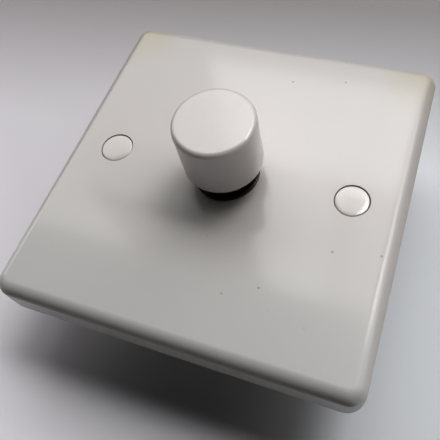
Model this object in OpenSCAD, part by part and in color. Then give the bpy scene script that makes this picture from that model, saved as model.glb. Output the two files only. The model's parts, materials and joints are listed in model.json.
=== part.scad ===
// Rotary dimmer switch for one gang of a square wall box, with a push-on / push-off knob.
// The origin is the centre of the wall plane, +Z points out of the wall and +Y is up the wall.
// The plate stands in front of the wall plane and the electronics module reaches behind it.

/* [Front plate] */
// Width and height of the square plate at its rear rim
plate_size = 86; // [85.5:0.5:88]
// Depth of the plate from the wall plane to its front face
plate_depth = 10; // [10:0.5:12]
// Thickness of the front face
face_thickness = 2.5; // [2.3:0.1:2.7]
// Thickness of the skirt round the plate
skirt_thickness = 2.2; // [1.8:0.1:2.6]
// Angle by which the skirt widens towards the wall
skirt_draft = 3; // [1:0.5:4]
// Radius of the front edge
edge_radius = 3; // [2.8:0.1:3.4]
// Radius of the four corners
corner_radius = 4; // [3.5:0.1:5]
// Width of each notch in the lower rim
notch_width = 3.6; // [2:0.2:5]
// Depth of each notch in the lower rim
notch_depth = 0.7; // [0.4:0.1:1.2]

/* [Fixing screws and caps] */
// Distance between the centres of the two fixing screws
fixing_spacing = 60.3; // [60:0.1:60.6]
// Diameter of the clearance hole for a fixing screw
fixing_hole_d = 4; // [3.8:0.1:4.2]
// Diameter of the recess for the screw head
head_recess_d = 7.3; // [7:0.1:7.5]
// Outer diameter of the boss round a fixing screw
boss_d = 9; // [8.8:0.1:9.2]
// Diameter of a screw cap
cap_d = 7.9; // [7.8:0.1:8]
// Radial gap round a screw cap
cap_gap = 0.15; // [0.1:0.05:0.2]
// Thickness of a screw cap's disc
cap_thickness = 1.3; // [1.1:0.1:1.5]

/* [Knob] */
// Diameter of the knob at its lower rim
knob_base_d = 18.6; // [18:0.1:19]
// Diameter of the knob below its top edge
knob_top_d = 18.3; // [18:0.1:18.6]
// Height of the knob
knob_height = 13.7; // [13:0.1:16]
// Clear height between the plate and the knob
knob_gap = 5.7; // [5.4:0.1:6]
// Radius of the knob's top edge
knob_edge_radius = 1.1; // [0.8:0.1:1.5]
// Thickness of the knob's wall
knob_wall = 1.5; // [1.2:0.1:1.6]
// Push travel that works the switch
push_travel = 1.6; // [1.2:0.1:1.6]

/* [Ring nut and washer] */
// Outer diameter of the washer
washer_d = 15.8; // [15.4:0.2:18]
// Thickness of the washer
washer_thickness = 0.8; // [0.5:0.1:0.9]
// Outer diameter of the ring nut
nut_d = 14.2; // [13.6:0.2:15]
// Thickness of the ring nut
nut_thickness = 2; // [1.6:0.1:2.1]
// Number of flutes round the ring nut
nut_flutes = 28; // [16:1:32]

/* [Potentiometer] */
// Diameter of the threaded bush
bush_d = 9.8; // [9.4:0.1:9.9]
// Diameter of the spindle
spindle_d = 6; // [5.8:0.1:6]
// Distance from the spindle's axis to its flat
spindle_flat = 1.5; // [1.3:0.1:1.7]
// Diameter of the potentiometer and of the switch behind it
pot_d = 24; // [23.6:0.1:24]
// Angle through which the knob turns
turn_angle = 280; // [260:5:290]

/* [Module] */
// Width of the module housing
housing_width = 46; // [46:0.5:47]
// Height of the module housing
housing_length = 58; // [58:0.5:60]
// Depth of the module behind the wall plane
module_depth = 22; // [22:0.5:24]
// Thickness of the housing's side walls
housing_wall = 1.5; // [1.3:0.1:1.5]
// Thickness of the heat-sink plate
sink_thickness = 1.5; // [1.2:0.1:1.6]
// Width of the heat-sink plate
sink_width = 50; // [48:0.5:50.5]
// Height of the heat-sink plate
sink_length = 62; // [60:0.5:66]
// Number of vent slots in the back
vent_count = 6; // [3:1:7]

/* [Terminals] */
// Distance between neighbouring terminals
terminal_pitch = 9.6; // [9.4:0.1:9.8]
// Diameter of the hole that takes the wire
wire_hole_d = 3.2; // [3:0.1:3.4]
// Diameter of a terminal screw
terminal_screw_d = 3; // [2.8:0.1:3.1]

/* [Choke] */
// Outer diameter of the choke's core
choke_d = 15; // [13:0.5:15]
// Number of turns on the choke
choke_turns = 18; // [10:1:18]

/* [Hidden] */
$fn = 64;

// A little extra length, so that a cut runs clear of the face it opens
over = 1;
// Radial clearance of a running fit
running = 0.05;

// Levels along Z, from the front to the back
face_back = plate_depth - face_thickness;
shoulder_size = plate_size - 2 * (plate_depth - edge_radius) * tan(skirt_draft);
sink_back = face_back - sink_thickness;
flange_thickness = 1.5;
flange_back = sink_back - flange_thickness;
track_thickness = 1;
track_back = flange_back - track_thickness;
rotor_front = track_back - 1.9;
rotor_thickness = 1.6;
board_front = 0.6;
board_thickness = 1.6;
board_back = board_front - board_thickness;
pot_back = -2;
switch_depth = 13;
switch_back = pot_back - switch_depth;
housing_back = -module_depth;
housing_floor = housing_back + 2;

// Fixing screws and caps
fixing_x = fixing_spacing / 2;
cap_seat = plate_depth - cap_thickness - 0.1;
head_seat = 5.2;
cap_leg_depth = 2;

// Rim notches
notch_x = fixing_x;

// Pegs that locate the plate on the heat sink
peg_r = 1.5;
peg_y = sink_length / 2 - 3;

// Bush, nut and knob
bush_hole_r = bush_d / 2 + 0.25;
bush_top = plate_depth + 4;
bush_key_x = 8.2;
bush_key_r = 1.2;
washer_top = plate_depth + washer_thickness;
knob_bottom = plate_depth + knob_gap;
knob_top = knob_bottom + knob_height;
hub_r = 5;
hub_bottom = knob_bottom + 1.2;
bore_top = knob_top - 2.4;
clip_thickness = 0.4;
hub_flat = spindle_flat + clip_thickness + 2 * running;

// Spindle
spindle_r = spindle_d / 2;
spindle_back = pot_back - 1;
spindle_front = bore_top - 0.3;
spindle_flat_from = knob_bottom + 0.5;
lower_flat_top = rotor_front + push_travel + 0.3;
circlip_back = track_back + 0.1;
circlip_thickness = 0.6;
circlip_groove_r = spindle_r - 0.6;

// Potentiometer
pot_r = pot_d / 2;
pot_inner_r = pot_r - 0.8;
stop_r = 9;
lug_half_angle = 8;
stop_half_angle = (360 - turn_angle) / 2 - lug_half_angle - 1;
lug_rest_angle = 90 - (360 - turn_angle) / 2;
rotor_r = stop_r - 0.4;
wiper_r = 8.2;
tag_pitch = 5;
tag_thickness = 0.4;
tag_width = 1.2;
tag_y = -14;

// Push switch
switch_inner_r = pot_r - 1.2;
plunger_r = 4;
collar_r = 5.5;
collar_front = spindle_back - 3;
collar_thickness = 1;
stem_r = 2;
stem_back = -12.6;
spring_seat = -12;
bridge_front = collar_front - collar_thickness;
bridge_thickness = 0.5;
spring_front = bridge_front - bridge_thickness;
contact_x = 8;
contact_r = 1.2;
contact_height = 0.7;
bridge_half_width = 1.5;
fixed_contact_front = spring_front - contact_height - push_travel - 0.1;
latch_r = 7;
latch_teeth = 8;

// Module housing
housing_x = housing_width / 2;
housing_y = housing_length / 2;
housing_inner_x = housing_x - housing_wall;
housing_inner_y = housing_y - housing_wall;
post_r = 3.4;
post_x = housing_inner_x - 3.1;
post_y = housing_inner_y - 3.1;
post_places = [[-post_x, post_y], [post_x, -post_y]];
screw_r = 1.45;
screw_hole_r = 1.5;
screw_head_r = 2.6;
ledge_y = 12;
vent_width = 1.6;
vent_length = 11;
vent_pitch = 4;
vent_y = 20;

// Triac, lying against the back of the heat sink
triac_y = 20.5;
triac_x = -2;
triac_body_length = 9.2;
triac_tab_length = 15.2;
triac_width = 10;
triac_tab_thickness = 1.3;
triac_body_depth = 4.4;
triac_hole_x = triac_x + 12.4;
triac_lead_x = triac_x - 3.2;
triac_lead_pitch = 2.54;

// Choke, standing on its edge behind the board
choke_centre = [12, 20.2, -10];
choke_inner_r = 4;
choke_width = 6.4;
winding_wire = 0.9;

// Terminals along the lower side
terminal_z = -9;
pillar_half_width = 3;
pillar_back = -13.5;
pillar_front = -5.5;
pillar_y_from = -26.9;
pillar_y_to = -16;
wire_hole_length = 9;
terminal_screw_y = -22;
terminal_screw_r = terminal_screw_d / 2;
terminal_screw_length = 5.8;
terminal_screw_tip = terminal_z - wire_hole_d / 2 - 0.1;
terminal_pin_y = -18;
block_half_width = 14.6;
block_y_from = -27.4;
block_y_to = -14.6;
block_back = -17.5;
access_r = 3.2;
terminal_places = [for (i = [-1:1]) i * terminal_pitch];

// Fuse along the left side, and small parts along the right side
fuse_x = -16.8;
fuse_z = -5.5;
fuse_r = 2.6;
fuse_half_length = 10;
fuse_glass_r = 2.3;
side_x = 16.8;
trimmer_half = 4;
trimmer_back = -5.5;
trimmer_rotor_r = 3;
capacitor_x_from = -19.6;
capacitor_x_to = -3.4;
capacitor_y_from = 13.6;
capacitor_y_to = 20.6;
capacitor_back = -14.5;
film_places = [7.75, 11.25];
film_size = [7, 2.5, 6.5];
film_x = 16.3;
resistor_places = [-6.6, -9.4, -12.2];
resistor_r = 1.15;
resistor_half = 2.3;
resistor_x = 16.2;
resistor_z = board_back - resistor_r - 0.1;
diac_place = [-16.8, -13];
diac_r = 0.9;
diac_half = 2;
lead_r = 0.3;
lead_hole_r = 0.45;
lead_front = board_front + 0.9;
axial_lead_x = 3.3;

// Upright leads that pass through the board: [x, y, back end]
upright_leads = concat(
    [for (x = [capacitor_x_from + 1.2, capacitor_x_to - 1.2])
        [x, (capacitor_y_from + capacitor_y_to) / 2, board_back]],
    [for (y = film_places) for (side = [-1, 1]) [film_x + side * 2.5, y, board_back]],
    [for (y = resistor_places) for (side = [-1, 1]) [resistor_x + side * axial_lead_x, y, resistor_z]],
    [for (side = [-1, 1]) [diac_place[0] + side * axial_lead_x * 0.8, diac_place[1], resistor_z]]
);

// ---------- Shared shapes ----------

// Ring or disc standing on z = 0
module ring(outer_r, inner_r, height) {
    difference() {
        cylinder(r = outer_r, h = height);
        translate([0, 0, -over]) cylinder(r = inner_r, h = height + 2 * over);
    }
}

// Flat plate with rounded corners, centred on the axis and standing on z = 0
module rounded_plate(width, length, thickness, radius) {
    translate([-width / 2 + radius, -length / 2, 0]) cube([width - 2 * radius, length, thickness]);
    translate([-width / 2, -length / 2 + radius, 0]) cube([width, length - 2 * radius, thickness]);
    for (x = [-1, 1]) {
        for (y = [-1, 1]) {
            translate([x * (width / 2 - radius), y * (length / 2 - radius), 0]) {
                cylinder(r = radius, h = thickness);
            }
        }
    }
}

// Box between two opposite corners
module box_between(low, high) {
    translate(low) cube(high - low);
}

module quarter_disc(radius) {
    intersection() {
        circle(r = radius);
        square(radius);
    }
}

// Outline of a drafted wall with a rounded front edge, from a corner's axis outwards
module wall_profile(bottom, top, corner, edge) {
    shoulder = top - edge;
    flare = (shoulder - bottom) * tan(skirt_draft);
    polygon([
        [0, bottom], [corner + flare, bottom], [corner, shoulder], [corner - edge, shoulder],
        [corner - edge, top], [0, top]
    ]);
    translate([corner - edge, shoulder]) quarter_disc(edge);
}

// Square block from z = bottom to z = top, drafted, with rounded corners and a rounded front edge;
// size is its width at the shoulder below the front edge
module soft_block(size, bottom, top, corner, edge) {
    core = size / 2 - corner;
    translate([-core, -core, bottom]) cube([2 * core, 2 * core, top - bottom]);
    for (quarter = [0:3]) {
        rotate([0, 0, 90 * quarter]) {
            translate([-core, core, 0]) {
                rotate([90, 0, 90]) linear_extrude(2 * core) wall_profile(bottom, top, corner, edge);
            }
            translate([core, core, 0]) {
                rotate_extrude(angle = 90) wall_profile(bottom, top, corner, edge);
            }
        }
    }
}

// Round bar along Z with one flat facing +X
module flatted_bar(radius, flat, bottom, top) {
    intersection() {
        translate([0, 0, bottom]) cylinder(r = radius, h = top - bottom);
        box_between([-2 * radius, -2 * radius, bottom - over], [flat, 2 * radius, top + over]);
    }
}

// Part of a ring that spans an angle about a direction
module ring_sector(outer_r, inner_r, height, direction, half_angle) {
    rotate([0, 0, direction - half_angle]) {
        rotate_extrude(angle = 2 * half_angle) translate([inner_r, 0]) square([outer_r - inner_r, height]);
    }
}

// Screw along Z with its head at the back, a slot across the head and its tip at the front
module slotted_screw(shank_r, head_r, head_thickness, length) {
    difference() {
        union() {
            translate([0, 0, -head_thickness]) cylinder(r = head_r, h = head_thickness);
            cylinder(r = shank_r, h = length);
        }
        translate([-head_r - over, -0.35, -head_thickness - over]) {
            cube([2 * head_r + 2 * over, 0.7, over + head_thickness * 0.45]);
        }
    }
}

// ---------- Front plate and caps ----------

module front_plate() {
    color("#e4e1dc") difference() {
        union() {
            difference() {
                soft_block(shoulder_size, 0, plate_depth, corner_radius, edge_radius);
                soft_block(shoulder_size - 2 * skirt_thickness, -over, face_back,
                    corner_radius - skirt_thickness, edge_radius - skirt_thickness);
            }
            for (side = [-1, 1]) {
                translate([side * fixing_x, 0, 0]) cylinder(d = boss_d, h = face_back + over / 2);
                translate([0, side * peg_y, sink_back]) {
                    cylinder(r = peg_r, h = face_back - sink_back + over / 2);
                }
            }
        }
        for (side = [-1, 1]) {
            translate([side * fixing_x, 0, 0]) fixing_recess();
            translate([side * notch_x - notch_width / 2, -plate_size / 2 - over, -over]) {
                cube([notch_width, skirt_thickness + 2 * over, notch_depth + over]);
            }
        }
        translate([0, 0, face_back - over]) cylinder(r = bush_hole_r, h = face_thickness + 2 * over);
    }
}

// Stepped hole for one fixing screw: clearance hole, head recess and cap seat
module fixing_recess() {
    translate([0, 0, -over]) cylinder(d = fixing_hole_d, h = plate_depth);
    translate([0, 0, head_seat]) cylinder(d = head_recess_d, h = plate_depth);
    translate([0, 0, cap_seat]) cylinder(r = cap_d / 2 + cap_gap, h = plate_depth);
}

module screw_cap(x) {
    leg_r = head_recess_d / 2 - 0.1;
    bevel = 0.25;
    color("#ebe7de") translate([x, 0, 0]) {
        rotate_extrude() {
            polygon([
                [0, cap_seat + 0.05], [cap_d / 2, cap_seat + 0.05],
                [cap_d / 2, plate_depth - bevel], [cap_d / 2 - bevel, plate_depth], [0, plate_depth]
            ]);
        }
        difference() {
            translate([0, 0, cap_seat - cap_leg_depth]) ring(leg_r, leg_r - 0.8, cap_leg_depth + 0.1);
            translate([-1.2, -leg_r - over, cap_seat - cap_leg_depth - over]) {
                cube([2.4, 2 * leg_r + 2 * over, cap_leg_depth + over]);
            }
        }
    }
}

module left_screw_cap() {
    screw_cap(-fixing_x);
}

module right_screw_cap() {
    screw_cap(fixing_x);
}

// ---------- Knob, nut and bush ----------

module control_knob() {
    base_r = knob_base_d / 2;
    top_r = knob_top_d / 2;
    shoulder = knob_top - knob_edge_radius;
    color("#e6e3de") {
        difference() {
            rotate_extrude() {
                polygon([
                    [0, knob_bottom], [base_r - 0.3, knob_bottom], [base_r, knob_bottom + 0.3],
                    [top_r, shoulder], [top_r - knob_edge_radius, shoulder],
                    [top_r - knob_edge_radius, knob_top], [0, knob_top]
                ]);
                translate([top_r - knob_edge_radius, shoulder]) quarter_disc(knob_edge_radius);
            }
            translate([0, 0, knob_bottom - over]) {
                cylinder(r = base_r - knob_wall, h = knob_height - 2 + over);
            }
        }
        difference() {
            translate([0, 0, hub_bottom]) cylinder(r = hub_r, h = knob_top - 1 - hub_bottom);
            flatted_bar(spindle_r + running, hub_flat, hub_bottom - over, bore_top);
        }
    }
}

module knob_spring_clip() {
    color("silver") {
        box_between([spindle_flat + running, -1.8, hub_bottom + 0.6],
            [spindle_flat + running + clip_thickness, 1.8, bore_top - 0.4]);
    }
}

module ring_nut() {
    nut_r = nut_d / 2;
    flute_r = 0.45;
    color("#2b2723") translate([0, 0, washer_top]) difference() {
        union() {
            cylinder(r = nut_r, h = nut_thickness - 0.5);
            translate([0, 0, nut_thickness - 0.5]) cylinder(r1 = nut_r, r2 = nut_r - 0.5, h = 0.5);
        }
        translate([0, 0, -over]) cylinder(r = bush_d / 2 + 0.1, h = nut_thickness + 2 * over);
        for (flute = [0:nut_flutes - 1]) {
            rotate([0, 0, 360 * flute / nut_flutes]) {
                translate([nut_r + 0.25, 0, -over]) cylinder(r = flute_r, h = nut_thickness + 2 * over);
            }
        }
    }
}

module nut_washer() {
    color("#3a352f") {
        translate([0, 0, plate_depth]) ring(washer_d / 2, bush_d / 2 + 0.2, washer_thickness);
    }
}

module potentiometer_bush() {
    color("#8c8a86") difference() {
        union() {
            translate([0, 0, flange_back]) cylinder(r = pot_r, h = flange_thickness);
            translate([0, 0, sink_back - 0.5]) cylinder(d = bush_d, h = bush_top - sink_back);
            translate([0, 0, bush_top - 0.5]) cylinder(r1 = bush_d / 2, r2 = bush_d / 2 - 0.5, h = 0.5);
            translate([bush_key_x, 0, sink_back - 0.5]) cylinder(r = bush_key_r, h = 1.8);
        }
        translate([0, 0, flange_back - over]) {
            cylinder(r = spindle_r + running, h = bush_top - flange_back + 2 * over);
        }
        translate([0, 0, flange_back - over]) cylinder(r = 4.6, h = over + 0.3);
    }
}

module spindle() {
    color("#b9bcc0") {
        difference() {
            union() {
                flatted_bar(spindle_r, spindle_flat, spindle_back, lower_flat_top);
                translate([0, 0, lower_flat_top]) {
                    cylinder(r = spindle_r, h = spindle_flat_from - lower_flat_top);
                }
                flatted_bar(spindle_r, spindle_flat, spindle_flat_from, spindle_front);
            }
            translate([0, 0, circlip_back - 0.05]) {
                ring(spindle_r + over, circlip_groove_r, circlip_thickness + 0.1);
            }
        }
    }
}

module spindle_circlip() {
    color("#70757a") translate([0, 0, circlip_back]) difference() {
        ring(spindle_r + 1.1, circlip_groove_r + running, circlip_thickness);
        translate([-1.3, 0, -over]) cube([2.6, 2 * spindle_r, circlip_thickness + 2 * over]);
    }
}

// ---------- Potentiometer ----------

module potentiometer_case() {
    depth = flange_back - pot_back;
    color("#c9ccd0") {
        difference() {
            translate([0, 0, pot_back]) cylinder(r = pot_r, h = depth);
            translate([0, 0, pot_back + 1]) cylinder(r = pot_inner_r, h = depth);
            translate([0, 0, pot_back - over]) cylinder(r = spindle_r + 0.6, h = 1 + 2 * over);
            for (i = [-1:1]) {
                translate([i * tag_pitch - tag_width, -pot_r - over, track_back - 2 * tag_thickness]) {
                    cube([2 * tag_width, 5, 2 * tag_thickness + 0.1]);
                }
            }
        }
        translate([0, 0, pot_back + 0.9]) {
            ring_sector(pot_inner_r + 0.3, stop_r, 2.6, 90, stop_half_angle);
        }
    }
}

module resistance_track() {
    color("#6b4a2f") translate([0, 0, track_back]) ring(pot_inner_r - 0.1, 4.6, track_thickness);
}

module potentiometer_tags() {
    color("#c0c4c8") for (i = [-1:1]) {
        x = i * tag_pitch - tag_width / 2;
        box_between([x, tag_y, track_back - tag_thickness], [x + tag_width, -9.4, track_back]);
        box_between([x, tag_y, board_back], [x + tag_width, tag_y + tag_thickness, track_back - tag_thickness]);
    }
}

module wiper_rotor() {
    color("#d8d2c0") translate([0, 0, rotor_front - rotor_thickness]) difference() {
        union() {
            cylinder(r = rotor_r, h = rotor_thickness);
            ring_sector(pot_inner_r - 0.4, rotor_r - 0.5, rotor_thickness, lug_rest_angle, lug_half_angle);
        }
        flatted_bar(spindle_r + running, spindle_flat + running, -over, rotor_thickness + over);
    }
}

module wiper_contact() {
    tip_front = track_back - 0.1;
    color("#c58b3f") {
        translate([0, 0, rotor_front]) ring(6.6, 5, 0.3);
        rotate([0, 0, lug_rest_angle]) {
            box_between([6, -0.8, rotor_front], [wiper_r + 0.7, 0.8, rotor_front + 0.3]);
            translate([wiper_r, 0, rotor_front + 0.2]) {
                cylinder(r = 0.5, h = tip_front - rotor_front - 0.2);
            }
        }
    }
}

// ---------- Push switch ----------

module switch_case() {
    color("#2c2c2e") difference() {
        union() {
            difference() {
                translate([0, 0, switch_back]) cylinder(r = pot_r, h = switch_depth);
                translate([0, 0, switch_back + 1.5]) cylinder(r = switch_inner_r, h = switch_depth);
            }
            translate([0, 0, switch_back + 1]) cylinder(r = 4, h = spring_seat - switch_back - 1);
            for (side = [-1, 1]) {
                for (edge = [-1, 1]) {
                    translate([side * 9.6 - 1.6, edge * 2.3 - 0.5, switch_back + 1]) cube([3.2, 1, 9.5]);
                }
            }
        }
        translate([0, 0, switch_back - over]) cylinder(r = stem_r + 0.1, h = switch_depth);
        for (side = [-1, 1]) {
            translate([side * contact_x - 0.4, -1.6, switch_back - over]) cube([0.8, 3.2, 4]);
        }
    }
}

module switch_plunger() {
    color("#e8e4d8") {
        translate([0, 0, collar_front]) cylinder(r = plunger_r, h = spindle_back - collar_front);
        translate([0, 0, bridge_front]) cylinder(r = collar_r, h = collar_thickness);
        translate([0, 0, stem_back]) cylinder(r = stem_r, h = bridge_front - stem_back + 0.5);
    }
}

module contact_bridge() {
    color("#c07a3a") {
        difference() {
            box_between([-9.2, -bridge_half_width, spring_front], [9.2, bridge_half_width, bridge_front]);
            translate([0, 0, spring_front - over]) {
                cylinder(r = stem_r + running, h = bridge_thickness + 2 * over);
            }
        }
        translate([0, 0, spring_front]) ring(3.6, stem_r + running, bridge_thickness);
        for (side = [-1, 1]) {
            translate([side * contact_x, 0, spring_front - contact_height]) {
                cylinder(r = contact_r, h = contact_height + 0.1);
            }
        }
    }
}

module fixed_contacts() {
    color("#c9a14a") for (side = [-1, 1]) {
        translate([side * contact_x, 0, 0]) {
            translate([0, 0, fixed_contact_front - 0.6]) cylinder(r = contact_r, h = 0.6);
            box_between([-1.3, -1.3, fixed_contact_front - 1], [1.3, 1.3, fixed_contact_front - 0.5]);
            box_between([-0.3, -1.3, switch_back - 2.5], [0.3, 1.3, fixed_contact_front - 0.9]);
        }
    }
}

// Point on the spring's centre line, from 0 at its back end to 1 at its front end
spring_turns = 5;
spring_wire_r = 0.25;
spring_r = 2.9;
spring_steps_per_turn = 12;
spring_sides = 8;
function spring_point(t) = [
    spring_r * cos(360 * spring_turns * t),
    spring_r * sin(360 * spring_turns * t),
    spring_seat + spring_wire_r + t * (spring_front - spring_seat - 2 * spring_wire_r)
];

// One ring of points round the wire, in the plane through the spring's axis
function spring_ring(t) = [
    for (side = [0:spring_sides - 1])
        let (
            across = spring_wire_r * cos(360 * side / spring_sides),
            along = spring_wire_r * sin(360 * side / spring_sides),
            turn = 360 * spring_turns * t
        )
        spring_point(t) + [across * cos(turn), across * sin(turn), along]
];

module plunger_spring() {
    steps = spring_turns * spring_steps_per_turn;
    points = [for (i = [0:steps]) each spring_ring(i / steps)];
    back_end = [for (side = [0:spring_sides - 1]) side];
    front_end = [for (side = [spring_sides - 1:-1:0]) steps * spring_sides + side];
    walls = [
        for (i = [0:steps - 1])
            for (side = [0:spring_sides - 1])
                let (
                    next = (side + 1) % spring_sides,
                    here = i * spring_sides,
                    there = here + spring_sides
                )
                [here + side, there + side, there + next, here + next]
    ];
    color("silver") polyhedron(points = points, faces = concat([back_end], walls, [front_end]));
}

module latch_rotor() {
    tooth_height = 0.7;
    body_height = spindle_back - collar_front - tooth_height - 0.1;
    color("#b8452f") translate([0, 0, collar_front + 0.1]) {
        ring(latch_r, plunger_r + 0.15, body_height);
        for (tooth = [0:latch_teeth - 1]) {
            translate([0, 0, body_height - 0.1]) {
                ring_sector(latch_r - 0.4, plunger_r + 0.6, tooth_height + 0.1, 360 * tooth / latch_teeth, 11);
            }
        }
    }
}

// ---------- Heat sink, sheet and housing ----------

module heat_sink_plate() {
    color("#c4c7ca") translate([0, 0, sink_back]) difference() {
        rounded_plate(sink_width, sink_length, sink_thickness, 3);
        translate([0, 0, -over]) {
            cylinder(r = bush_d / 2 + 0.15, h = sink_thickness + 2 * over);
            translate([bush_key_x, 0, 0]) cylinder(r = bush_key_r + 0.1, h = sink_thickness + 2 * over);
            for (side = [-1, 1]) {
                translate([0, side * peg_y, 0]) cylinder(r = peg_r + 0.1, h = sink_thickness + 2 * over);
            }
            for (place = post_places) {
                translate(place) cylinder(r = screw_hole_r, h = sink_thickness + 2 * over);
            }
            translate([triac_hole_x, triac_y, 0]) {
                cylinder(r = screw_hole_r, h = sink_thickness + 2 * over);
            }
        }
    }
}

module insulating_sheet() {
    thickness = 0.4;
    gap = 0.3;
    color("#d9c9a0") translate([0, 0, sink_back - thickness]) difference() {
        rounded_plate(2 * housing_inner_x - 2 * gap, 2 * housing_inner_y - 2 * gap, thickness, 1);
        translate([0, 0, -over]) cylinder(r = pot_r + gap, h = thickness + 2 * over);
        for (place = post_places) {
            translate([place[0], place[1], -over]) cylinder(r = post_r + gap, h = thickness + 2 * over);
        }
        box_between([triac_lead_x - 1, triac_y - triac_width / 2 - gap, -over],
            [triac_x + triac_tab_length + gap, triac_y + triac_width / 2 + gap, thickness + over]);
    }
}

module module_housing() {
    color("#dedbd4") difference() {
        union() {
            difference() {
                translate([0, 0, housing_back]) {
                    rounded_plate(housing_width, housing_length, sink_back - housing_back, 2.5);
                }
                translate([0, 0, housing_floor]) {
                    rounded_plate(2 * housing_inner_x, 2 * housing_inner_y, module_depth + plate_depth, 1);
                }
            }
            for (place = post_places) {
                translate([place[0], place[1], housing_back + 0.5]) {
                    cylinder(r = post_r, h = sink_back - housing_back - 0.5);
                }
            }
            for (side = [-1, 1]) {
                for (end = [-1, 1]) {
                    board_ledge(side, end);
                }
            }
        }
        for (place = post_places) {
            translate([place[0], place[1], housing_back - over]) {
                cylinder(r = screw_hole_r + 0.1, h = module_depth + plate_depth);
                cylinder(r = screw_head_r + 0.2, h = housing_floor - housing_back + over);
            }
        }
        for (x = terminal_places) {
            translate([x, terminal_screw_y, housing_back - over]) cylinder(r = access_r, h = 3 + over);
            translate([x, -housing_inner_y + over, terminal_z]) {
                rotate([90, 0, 0]) cylinder(r = 2.4, h = housing_wall + 2 * over);
            }
        }
        translate([side_x, 0, housing_back - over]) cylinder(r = 2.4, h = 3 + over);
        for (slot = [0:vent_count - 1]) {
            translate([(slot - (vent_count - 1) / 2) * vent_pitch, vent_y, housing_back]) vent_slot();
        }
    }
}

// Rib on a side wall that the board rests on
module board_ledge(side, end) {
    translate([side * (housing_inner_x - 0.5) - 1, end * ledge_y - 1, housing_floor - 0.5]) {
        cube([2, 2, board_back - housing_floor + 0.5]);
    }
}

module vent_slot() {
    straight = vent_length - vent_width;
    translate([-vent_width / 2, -straight / 2, -over]) cube([vent_width, straight, 3 + over]);
    for (end = [-1, 1]) {
        translate([0, end * straight / 2, -over]) cylinder(d = vent_width, h = 3 + over);
    }
}

module module_screws() {
    color("#9ea2a6") for (place = post_places) {
        translate([place[0], place[1], housing_floor]) {
            slotted_screw(screw_r, screw_head_r, 1.6, face_back - housing_floor - 0.2);
        }
    }
}

// ---------- Board and its parts ----------

module circuit_board() {
    gap = 0.3;
    triac_lead_y = [for (i = [-1:1]) triac_y + i * triac_lead_pitch];
    color("#b98a4e") translate([0, 0, board_back]) difference() {
        rounded_plate(2 * housing_inner_x - 2 * gap, 2 * housing_inner_y - 2 * gap, board_thickness, 1);
        translate([0, 0, -over]) {
            cylinder(r = pot_r + 0.4, h = board_thickness + 2 * over);
            for (place = post_places) {
                translate(place) cylinder(r = post_r + gap, h = board_thickness + 2 * over);
            }
            translate([triac_hole_x, triac_y, 0]) cylinder(r = 1.8, h = board_thickness + 2 * over);
            for (lead = upright_leads) {
                translate([lead[0], lead[1], 0]) cylinder(r = lead_hole_r, h = board_thickness + 2 * over);
            }
            for (y = triac_lead_y) {
                translate([triac_lead_x, y, 0]) cylinder(r = 0.75, h = board_thickness + 2 * over);
            }
            for (i = [-1:1]) {
                translate([i * tag_pitch, tag_y + tag_thickness / 2, 0]) {
                    cylinder(r = 0.75, h = board_thickness + 2 * over);
                }
            }
            for (x = terminal_places) {
                translate([x, terminal_pin_y, 0]) cylinder(r = 1, h = board_thickness + 2 * over);
            }
            for (end = [-1, 1]) {
                translate([fuse_x, end * 7.5, 0]) cylinder(r = 1, h = board_thickness + 2 * over);
            }
        }
    }
}

module triac_body() {
    back = sink_back - triac_body_depth;
    color("#202124") {
        box_between([triac_x, triac_y - triac_width / 2, back],
            [triac_x + triac_body_length, triac_y + triac_width / 2, sink_back - triac_tab_thickness]);
    }
}

module triac_metalwork() {
    tab_back = sink_back - triac_tab_thickness;
    lead_z = sink_back - 2.6;
    color("#b8bcc0") {
        difference() {
            box_between([triac_x, triac_y - triac_width / 2, tab_back],
                [triac_x + triac_tab_length, triac_y + triac_width / 2, sink_back]);
            translate([triac_hole_x, triac_y, tab_back - over]) {
                cylinder(r = 1.85, h = triac_tab_thickness + 2 * over);
            }
        }
        for (i = [-1:1]) {
            y = triac_y + i * triac_lead_pitch;
            box_between([triac_lead_x - 0.25, y - 0.45, lead_z - 0.25], [triac_x, y + 0.45, lead_z + 0.25]);
            box_between([triac_lead_x - 0.25, y - 0.45, board_back], [triac_lead_x + 0.25, y + 0.45, lead_z]);
        }
    }
}

module triac_screw() {
    color("#c9ccd0") translate([triac_hole_x, triac_y, sink_back - triac_tab_thickness]) {
        slotted_screw(screw_r, 2.7, 1.8, sink_thickness + triac_tab_thickness - 0.1);
    }
}

module choke_core() {
    color("#4a4d50") translate(choke_centre) rotate([90, 0, 0]) translate([0, 0, -choke_width / 2]) {
        ring(choke_d / 2, choke_inner_r, choke_width);
    }
}

// Separate turns of wire round the core
module choke_winding() {
    gap = 0.05;
    radial = choke_d / 2 - choke_inner_r + 2 * gap;
    inner_x = choke_inner_r - gap;
    height = choke_width + 2 * gap;
    color("#b5622c") translate(choke_centre) rotate([90, 0, 0]) {
        for (turn = [0:choke_turns - 1]) {
            rotate([0, 0, 15 + 330 * turn / (choke_turns - 1)]) {
                difference() {
                    box_between([inner_x - winding_wire, -winding_wire / 2, -height / 2 - winding_wire],
                        [inner_x + radial + winding_wire, winding_wire / 2, height / 2 + winding_wire]);
                    box_between([inner_x, -winding_wire, -height / 2],
                        [inner_x + radial, winding_wire, height / 2]);
                }
            }
        }
    }
}

module suppression_capacitor() {
    color("#e3c23a") {
        box_between([capacitor_x_from, capacitor_y_from, capacitor_back],
            [capacitor_x_to, capacitor_y_to, board_back]);
    }
}

module timing_capacitors() {
    color("#b33a2a") for (y = film_places) {
        translate([film_x - film_size[0] / 2, y - film_size[1] / 2, board_back - film_size[2]]) cube(film_size);
    }
}

module resistors() {
    color("#c9a877") for (y = resistor_places) {
        translate([resistor_x - resistor_half, y, resistor_z]) {
            rotate([0, 90, 0]) axial_body(resistor_r, 2 * resistor_half);
        }
    }
}

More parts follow.
